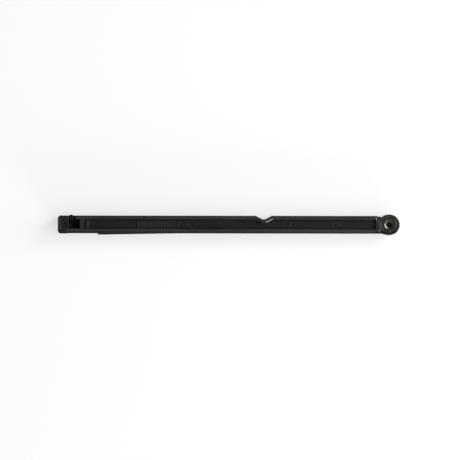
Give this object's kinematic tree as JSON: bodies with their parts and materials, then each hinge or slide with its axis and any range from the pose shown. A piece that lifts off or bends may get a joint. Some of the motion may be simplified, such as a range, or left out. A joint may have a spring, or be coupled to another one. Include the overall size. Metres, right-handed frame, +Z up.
{
  "type": "concealed door closer",
  "caption": "Slim black moulded door closer bar with a round eye, a square pin socket in a cam sleeve, a closing spring and a hydraulic damper inside, a locating notch and a latch tongue.",
  "frame": {"origin": "on the hinge axis, on the flat back face that the closer lies on", "axes": "+X along the bar towards the eye, +Z up through the open recess and the pin socket, +Y towards the notched side"},
  "size_m": [0.3075, 0.0186, 0.016],
  "materials": {
    "black_plastic": "satin moulded, glass-filled nylon",
    "sleeve_plastic": "satin moulded acetal",
    "sintered_metal": "oiled sintered steel",
    "bright_steel": "ground",
    "spring_steel": "drawn, phosphated",
    "black_steel": "black oxide",
    "acetal": "natural acetal",
    "seal_rubber": "nitrile",
    "bronze": "bearing bronze"
  },
  "bodies": {
    "housing": {"housing": "black_plastic", "rear_cover": "black_plastic", "cover_screws": "black_steel", "end_cap": "black_plastic", "thrust_washer": "bronze", "closing_spring": "spring_steel", "rear_spring_seat": "bright_steel", "damper_cylinder": "bright_steel", "rod_guide": "acetal", "guide_seal": "seal_rubber", "rod_seal": "seal_rubber", "floating_spring": "spring_steel", "damper_end_plug": "acetal", "plug_seal": "seal_rubber", "anchor_rod": "black_steel", "anchor_washer": "black_steel", "anchor_nut": "black_steel"},
    "sleeve": {"cam_sleeve": "sleeve_plastic", "drive_socket": "sintered_metal"},
    "carriage": {"carriage": "acetal", "rod_clip": "spring_steel", "front_spring_seat": "bright_steel", "pull_rod": "bright_steel", "damper_piston": "acetal", "piston_ring": "bronze", "piston_nut": "bright_steel"},
    "roller": {"cam_roller": "bright_steel"},
    "valve": {"valve_disc": "spring_steel"},
    "floater": {"floating_piston": "acetal", "floating_seal": "seal_rubber"},
    "latch": {"latch_tongue": "black_plastic"}
  },
  "joints": [
    {"name": "sleeve_turn", "type": "hinge", "parent": "housing", "child": "sleeve", "pos_m": [0, 0, 0], "axis": [0, 0, 1], "range_deg": [0, 115]},
    {"name": "carriage_slide", "type": "slide", "parent": "housing", "child": "carriage", "axis": [-1, 0, 0], "range_m": [0, 0.0052], "stiffness_N_per_m": 2000, "springref_m": -0.033, "deforming": ["closing_spring"]},
    {"name": "roller_spin", "type": "hinge", "parent": "carriage", "child": "roller", "pos_m": [-0.0052, 0, 0.0045], "axis": [0, 0, 1], "continuous": true},
    {"name": "valve_lift", "type": "slide", "parent": "carriage", "child": "valve", "axis": [1, 0, 0], "range_m": [0, 0.00035]},
    {"name": "floater_slide", "type": "slide", "parent": "housing", "child": "floater", "axis": [-1, 0, 0], "range_m": [0, 0.00091], "deforming": ["floating_spring"]},
    {"name": "latch_flex", "type": "hinge", "parent": "housing", "child": "latch", "pos_m": [-0.1901, -0.00715, 0.0073], "axis": [0, 0, -1], "range_deg": [0, 0.98], "stiffness_Nm_per_rad": 0.2}
  ],
  "couplings": [
    {"joint": "sleeve_turn", "follows": "carriage_slide", "rad_per_m": 385.99},
    {"joint": "floater_slide", "follows": "carriage_slide", "ratio": 0.17361}
  ]
}
